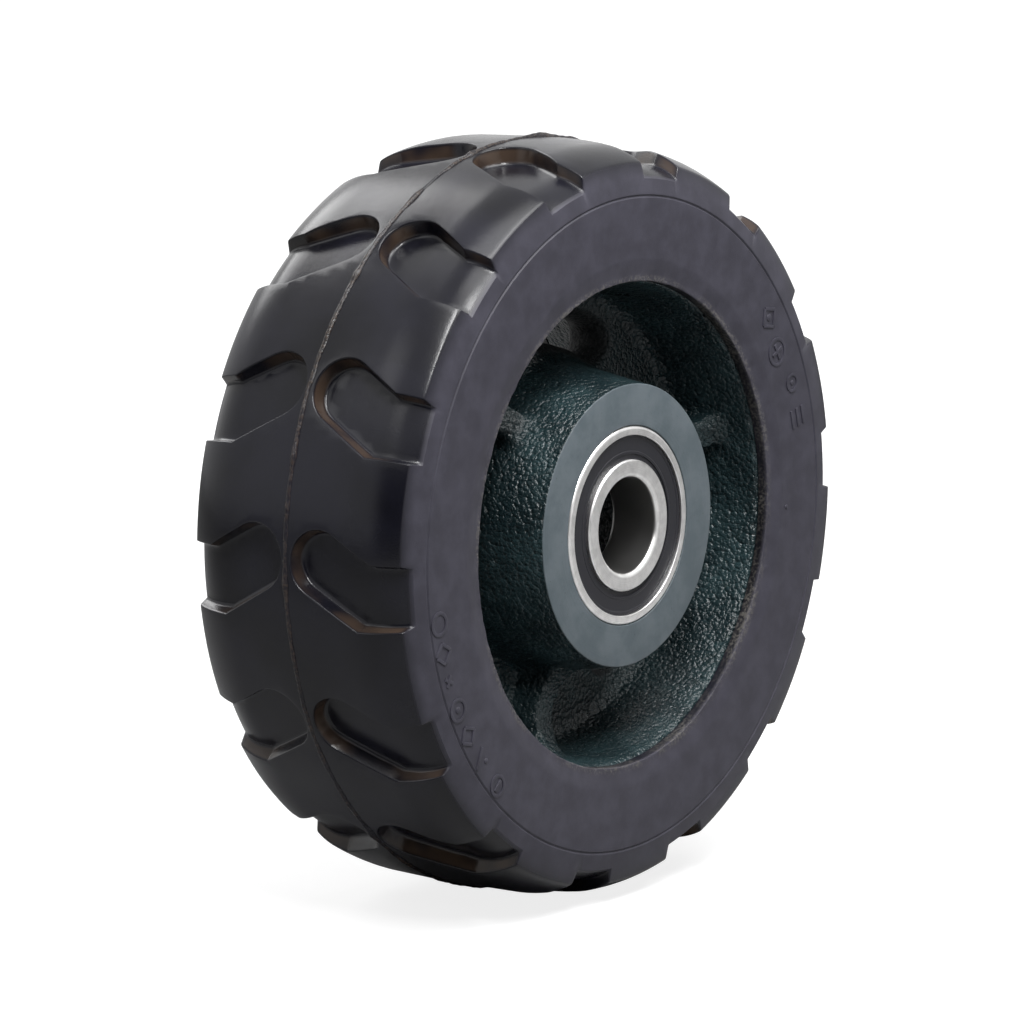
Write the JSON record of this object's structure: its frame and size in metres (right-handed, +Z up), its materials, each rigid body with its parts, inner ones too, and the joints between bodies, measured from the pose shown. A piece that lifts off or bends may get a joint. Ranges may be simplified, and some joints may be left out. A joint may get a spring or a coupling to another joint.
{
  "type": "solid rubber wheel",
  "caption": "Solid rubber wheel: chevron-tread tyre moulded on a ribbed cast iron hub that runs on sealed ball bearings.",
  "frame": {"origin": "centre of the wheel, on the axle's axis and in the middle plane of the tread", "axes": "Y along the axle, the front face to -Y; +Z up, as the wheel stands when it rolls; +X to the right seen from the front"},
  "size_m": [0.2, 0.07, 0.2],
  "materials": {
    "tyre_rubber": "moulded black rubber, satin on the lugs and duller on the sidewalls",
    "hub_iron": "sand-cast iron under glossy dark green paint, smooth grey-green on the turned boss faces",
    "bearing_steel": "ground bright steel",
    "ball_steel": "polished steel",
    "cage_steel": "pressed steel strip",
    "seal_rubber": "dark grey moulded rubber"
  },
  "bodies": {
    "axle_rings": {"front_inner_ring": "bearing_steel", "rear_inner_ring": "bearing_steel"},
    "wheel": {"tyre": "tyre_rubber", "hub": "hub_iron", "front_outer_ring": "bearing_steel", "front_outer_seal": "seal_rubber", "front_inner_seal": "seal_rubber", "rear_outer_ring": "bearing_steel", "rear_outer_seal": "seal_rubber", "rear_inner_seal": "seal_rubber"},
    "front_cage": {"front_cage_outer_half": "cage_steel", "front_cage_inner_half": "cage_steel", "front_cage_rivets": "cage_steel"},
    "front_ball_1": {"front_ball_1": "ball_steel"},
    "front_ball_2": {"front_ball_2": "ball_steel"},
    "front_ball_3": {"front_ball_3": "ball_steel"},
    "front_ball_4": {"front_ball_4": "ball_steel"},
    "front_ball_5": {"front_ball_5": "ball_steel"},
    "front_ball_6": {"front_ball_6": "ball_steel"},
    "front_ball_7": {"front_ball_7": "ball_steel"},
    "front_ball_8": {"front_ball_8": "ball_steel"},
    "front_ball_9": {"front_ball_9": "ball_steel"},
    "rear_cage": {"rear_cage_outer_half": "cage_steel", "rear_cage_inner_half": "cage_steel", "rear_cage_rivets": "cage_steel"},
    "rear_ball_1": {"rear_ball_1": "ball_steel"},
    "rear_ball_2": {"rear_ball_2": "ball_steel"},
    "rear_ball_3": {"rear_ball_3": "ball_steel"},
    "rear_ball_4": {"rear_ball_4": "ball_steel"},
    "rear_ball_5": {"rear_ball_5": "ball_steel"},
    "rear_ball_6": {"rear_ball_6": "ball_steel"},
    "rear_ball_7": {"rear_ball_7": "ball_steel"},
    "rear_ball_8": {"rear_ball_8": "ball_steel"},
    "rear_ball_9": {"rear_ball_9": "ball_steel"}
  },
  "joints": [
    {"name": "wheel_spin", "type": "hinge", "parent": "axle_rings", "child": "wheel", "pos_m": [0, 0, 0], "axis": [0, 1, 0], "continuous": true},
    {"name": "front_cage_spin", "type": "hinge", "parent": "axle_rings", "child": "front_cage", "pos_m": [0, -0.0266, 0], "axis": [0, 1, 0], "continuous": true},
    {"name": "front_ball_1_roll", "type": "hinge", "parent": "front_cage", "child": "front_ball_1", "pos_m": [0.01255, -0.0266, 0.01496], "axis": [0, 1, 0], "continuous": true},
    {"name": "front_ball_2_roll", "type": "hinge", "parent": "front_cage", "child": "front_ball_2", "pos_m": [0.01923, -0.0266, 0.00339], "axis": [0, 1, 0], "continuous": true},
    {"name": "front_ball_3_roll", "type": "hinge", "parent": "front_cage", "child": "front_ball_3", "pos_m": [0.01691, -0.0266, -0.00976], "axis": [0, 1, 0], "continuous": true},
    {"name": "front_ball_4_roll", "type": "hinge", "parent": "front_cage", "child": "front_ball_4", "pos_m": [0.00668, -0.0266, -0.01835], "axis": [0, 1, 0], "continuous": true},
    {"name": "front_ball_5_roll", "type": "hinge", "parent": "front_cage", "child": "front_ball_5", "pos_m": [-0.00668, -0.0266, -0.01835], "axis": [0, 1, 0], "continuous": true},
    {"name": "front_ball_6_roll", "type": "hinge", "parent": "front_cage", "child": "front_ball_6", "pos_m": [-0.01691, -0.0266, -0.00976], "axis": [0, 1, 0], "continuous": true},
    {"name": "front_ball_7_roll", "type": "hinge", "parent": "front_cage", "child": "front_ball_7", "pos_m": [-0.01923, -0.0266, 0.00339], "axis": [0, 1, 0], "continuous": true},
    {"name": "front_ball_8_roll", "type": "hinge", "parent": "front_cage", "child": "front_ball_8", "pos_m": [-0.01255, -0.0266, 0.01496], "axis": [0, 1, 0], "continuous": true},
    {"name": "front_ball_9_roll", "type": "hinge", "parent": "front_cage", "child": "front_ball_9", "pos_m": [0, -0.0266, 0.01953], "axis": [0, 1, 0], "continuous": true},
    {"name": "rear_cage_spin", "type": "hinge", "parent": "axle_rings", "child": "rear_cage", "pos_m": [0, 0.0266, 0], "axis": [0, 1, 0], "continuous": true},
    {"name": "rear_ball_1_roll", "type": "hinge", "parent": "rear_cage", "child": "rear_ball_1", "pos_m": [0.01691, 0.0266, 0.00976], "axis": [0, 1, 0], "continuous": true},
    {"name": "rear_ball_2_roll", "type": "hinge", "parent": "rear_cage", "child": "rear_ball_2", "pos_m": [0.01923, 0.0266, -0.00339], "axis": [0, 1, 0], "continuous": true},
    {"name": "rear_ball_3_roll", "type": "hinge", "parent": "rear_cage", "child": "rear_ball_3", "pos_m": [0.01255, 0.0266, -0.01496], "axis": [0, 1, 0], "continuous": true},
    {"name": "rear_ball_4_roll", "type": "hinge", "parent": "rear_cage", "child": "rear_ball_4", "pos_m": [0, 0.0266, -0.01953], "axis": [0, 1, 0], "continuous": true},
    {"name": "rear_ball_5_roll", "type": "hinge", "parent": "rear_cage", "child": "rear_ball_5", "pos_m": [-0.01255, 0.0266, -0.01496], "axis": [0, 1, 0], "continuous": true},
    {"name": "rear_ball_6_roll", "type": "hinge", "parent": "rear_cage", "child": "rear_ball_6", "pos_m": [-0.01923, 0.0266, -0.00339], "axis": [0, 1, 0], "continuous": true},
    {"name": "rear_ball_7_roll", "type": "hinge", "parent": "rear_cage", "child": "rear_ball_7", "pos_m": [-0.01691, 0.0266, 0.00976], "axis": [0, 1, 0], "continuous": true},
    {"name": "rear_ball_8_roll", "type": "hinge", "parent": "rear_cage", "child": "rear_ball_8", "pos_m": [-0.00668, 0.0266, 0.01835], "axis": [0, 1, 0], "continuous": true},
    {"name": "rear_ball_9_roll", "type": "hinge", "parent": "rear_cage", "child": "rear_ball_9", "pos_m": [0.00668, 0.0266, 0.01835], "axis": [0, 1, 0], "continuous": true}
  ],
  "couplings": [
    {"joint": "front_cage_spin", "follows": "wheel_spin", "ratio": 0.60167},
    {"joint": "front_ball_1_roll", "follows": "wheel_spin", "ratio": 2.3574},
    {"joint": "front_ball_2_roll", "follows": "wheel_spin", "ratio": 2.3574},
    {"joint": "front_ball_3_roll", "follows": "wheel_spin", "ratio": 2.3574},
    {"joint": "front_ball_4_roll", "follows": "wheel_spin", "ratio": 2.3574},
    {"joint": "front_ball_5_roll", "follows": "wheel_spin", "ratio": 2.3574},
    {"joint": "front_ball_6_roll", "follows": "wheel_spin", "ratio": 2.3574},
    {"joint": "front_ball_7_roll", "follows": "wheel_spin", "ratio": 2.3574},
    {"joint": "front_ball_8_roll", "follows": "wheel_spin", "ratio": 2.3574},
    {"joint": "front_ball_9_roll", "follows": "wheel_spin", "ratio": 2.3574},
    {"joint": "rear_cage_spin", "follows": "wheel_spin", "ratio": 0.60167},
    {"joint": "rear_ball_1_roll", "follows": "wheel_spin", "ratio": 2.3574},
    {"joint": "rear_ball_2_roll", "follows": "wheel_spin", "ratio": 2.3574},
    {"joint": "rear_ball_3_roll", "follows": "wheel_spin", "ratio": 2.3574},
    {"joint": "rear_ball_4_roll", "follows": "wheel_spin", "ratio": 2.3574},
    {"joint": "rear_ball_5_roll", "follows": "wheel_spin", "ratio": 2.3574},
    {"joint": "rear_ball_6_roll", "follows": "wheel_spin", "ratio": 2.3574},
    {"joint": "rear_ball_7_roll", "follows": "wheel_spin", "ratio": 2.3574},
    {"joint": "rear_ball_8_roll", "follows": "wheel_spin", "ratio": 2.3574},
    {"joint": "rear_ball_9_roll", "follows": "wheel_spin", "ratio": 2.3574}
  ]
}
